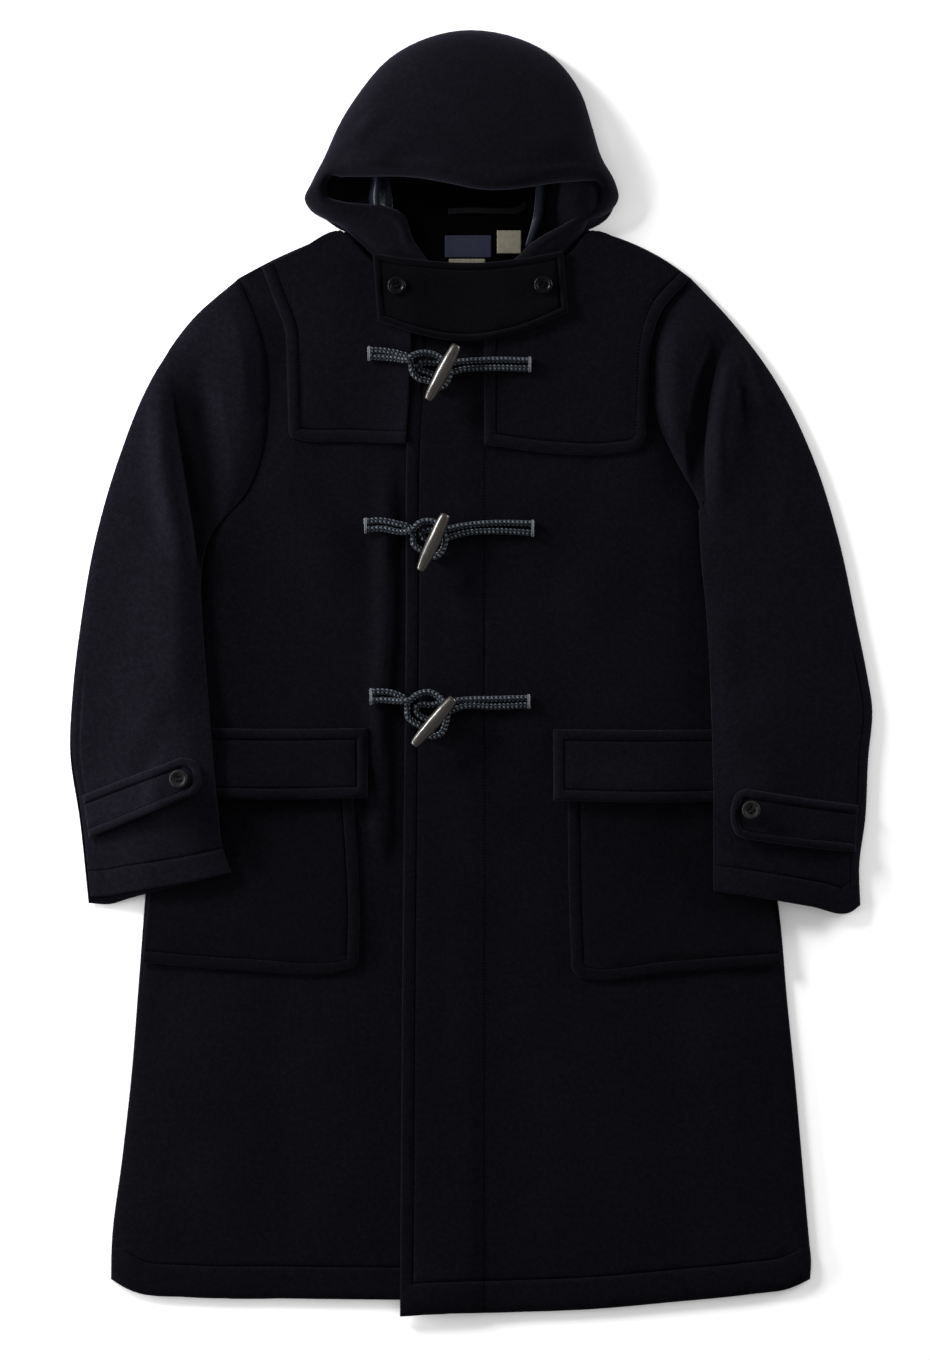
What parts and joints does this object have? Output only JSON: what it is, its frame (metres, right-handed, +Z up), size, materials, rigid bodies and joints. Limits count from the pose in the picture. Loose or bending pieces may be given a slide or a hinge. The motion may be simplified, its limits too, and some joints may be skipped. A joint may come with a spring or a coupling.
{
  "type": "duffle coat",
  "caption": "Hooded duffle coat in thick dark navy wool, laid flat and fastened: yokes, patch pockets with flaps, throat tab, buttoned cuff straps, horn toggles on braided cord.",
  "frame": {"origin": "on the surface that the coat lies on, under the middle of its outline", "axes": "+Y from the hem towards the hood, +X towards the wearer's left, +Z up off the surface, out of the front"},
  "size_m": [0.8024, 1.284, 0.0524],
  "materials": {
    "melton": "thick milled wool with a short nap, dark navy",
    "neck_lining": "plain black lining",
    "satin_lining": "smooth blue-grey satin",
    "blue_label": "plain woven label, bare",
    "cream_label": "plain woven label, bare",
    "horn": "semi-polished grey-brown horn",
    "braided_cord": "round braid in navy and pale thread",
    "button": "dark four-hole button, satin"
  },
  "bodies": {
    "root": {"back": "melton", "front_right": "melton", "front_left": "melton", "sleeve_right_top": "melton", "sleeve_right_under": "melton", "sleeve_left_top": "melton", "sleeve_left_under": "melton", "hood": "melton", "hood_back": "melton", "yoke_right": "melton", "yoke_left": "melton", "throat_tab": "melton", "pocket_right": "melton", "pocket_left": "melton", "flap_right": "melton", "flap_left": "melton", "cuff_strap_right": "melton", "cuff_strap_left": "melton", "neck_lining": "neck_lining", "hanger_loop": "neck_lining", "hood_lining_right": "satin_lining", "hood_lining_left": "satin_lining", "label_main": "blue_label", "label_side": "cream_label", "label_size": "cream_label", "toggle_1": "horn", "loop_cord_1": "braided_cord", "toggle_cord_1": "braided_cord", "toggle_2": "horn", "loop_cord_2": "braided_cord", "toggle_cord_2": "braided_cord", "toggle_3": "horn", "loop_cord_3": "braided_cord", "toggle_cord_3": "braided_cord", "tab_button_right": "button", "tab_button_left": "button", "cuff_button_right": "button", "cuff_button_left": "button"}
  },
  "joints": []
}
